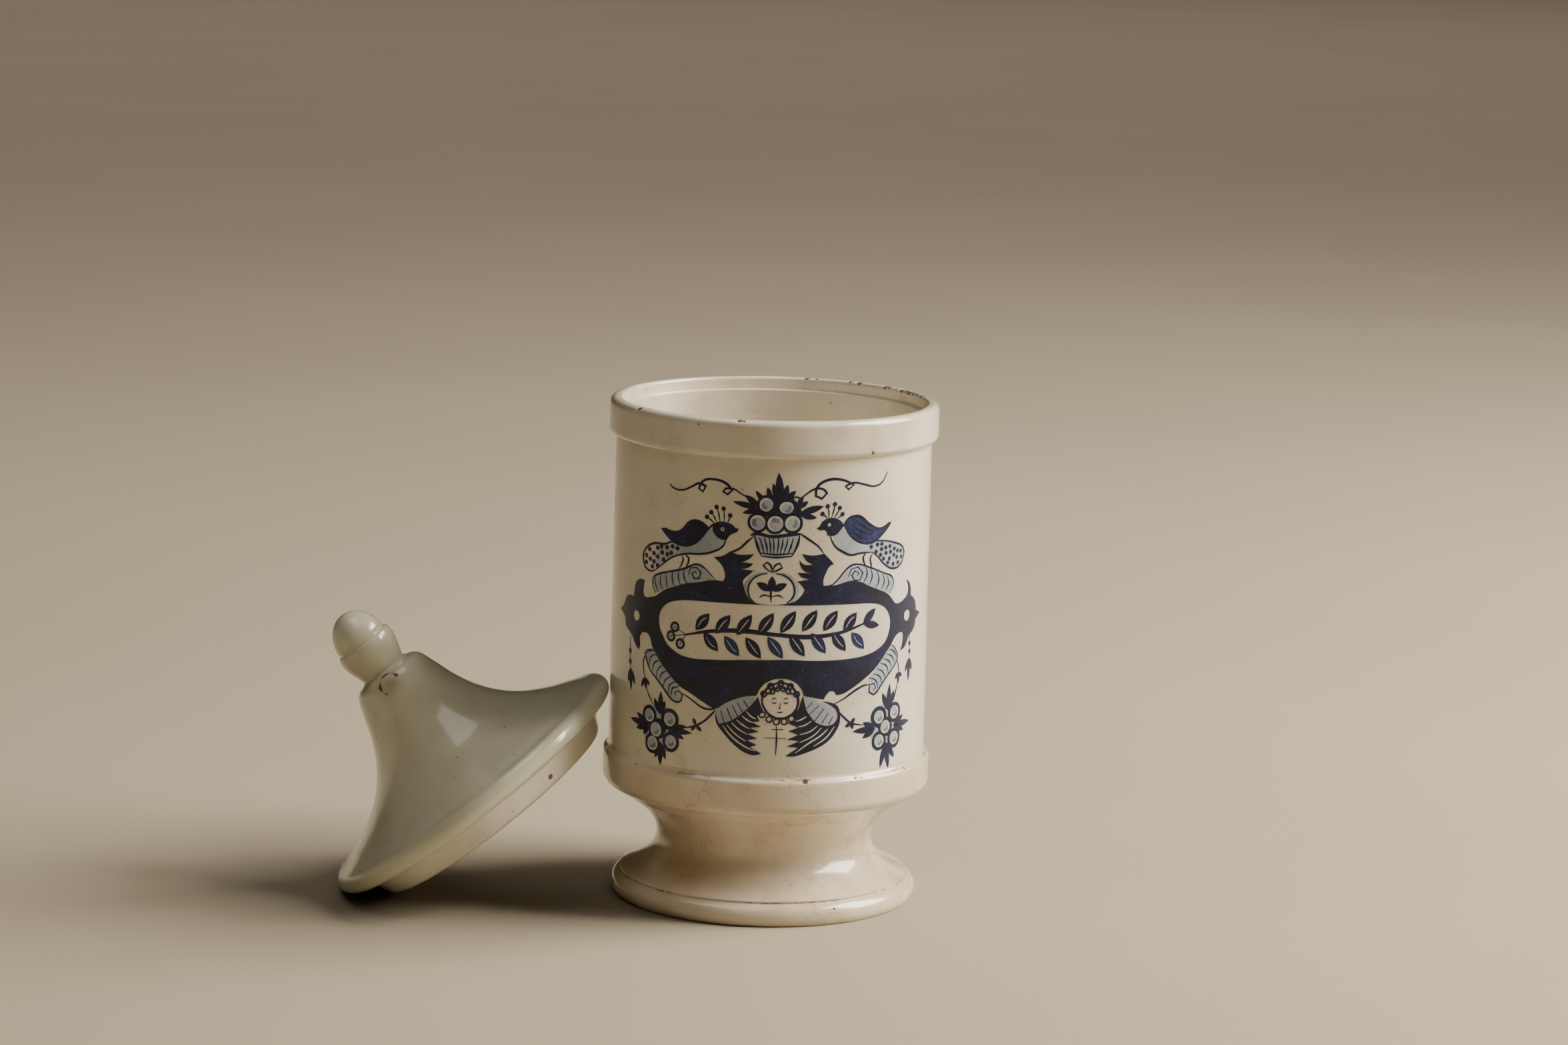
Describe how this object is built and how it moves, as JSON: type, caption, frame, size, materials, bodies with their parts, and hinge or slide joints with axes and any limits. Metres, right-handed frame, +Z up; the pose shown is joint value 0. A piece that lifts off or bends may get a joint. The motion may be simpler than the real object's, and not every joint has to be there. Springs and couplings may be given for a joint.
{
  "type": "apothecary jar",
  "caption": "Cylindrical drug jar on a waisted pedestal foot, open at the mouth, with its bell-shaped knobbed lid leaning against its side.",
  "frame": {"origin": "centre of the foot, on the table", "axes": "+Z up the jar's axis, +X to the viewer's right with the painted front facing -Y; the lid leans at -X"},
  "size_m": [0.2306, 0.1397, 0.1934],
  "materials": {
    "drum_glaze": "glossy cream tin glaze, finely pitted, faintly crazed",
    "foot_glaze": "glossy cream glaze, a warmer pinkish beige where it pooled",
    "lid_glaze": "glossy cream glaze with a grey-green cast",
    "cobalt_paint": "brushed cobalt blue under the gloss, from near black to a pale wash"
  },
  "bodies": {
    "jar": {"foot_ring": "foot_glaze", "pedestal_flare": "foot_glaze", "pedestal_neck": "foot_glaze", "base_collar": "foot_glaze", "drum": "drum_glaze", "rim_band": "drum_glaze"},
    "lid": {"lid_brim": "lid_glaze", "lid_bell": "lid_glaze", "lid_flange": "lid_glaze", "finial_cup": "lid_glaze", "finial_cap": "lid_glaze"}
  },
  "joints": [
    {"name": "lid_lift", "type": "slide", "parent": "jar", "child": "lid", "axis": [-0.6252, 0, 0.7804], "range_m": [0, 0.15]}
  ]
}
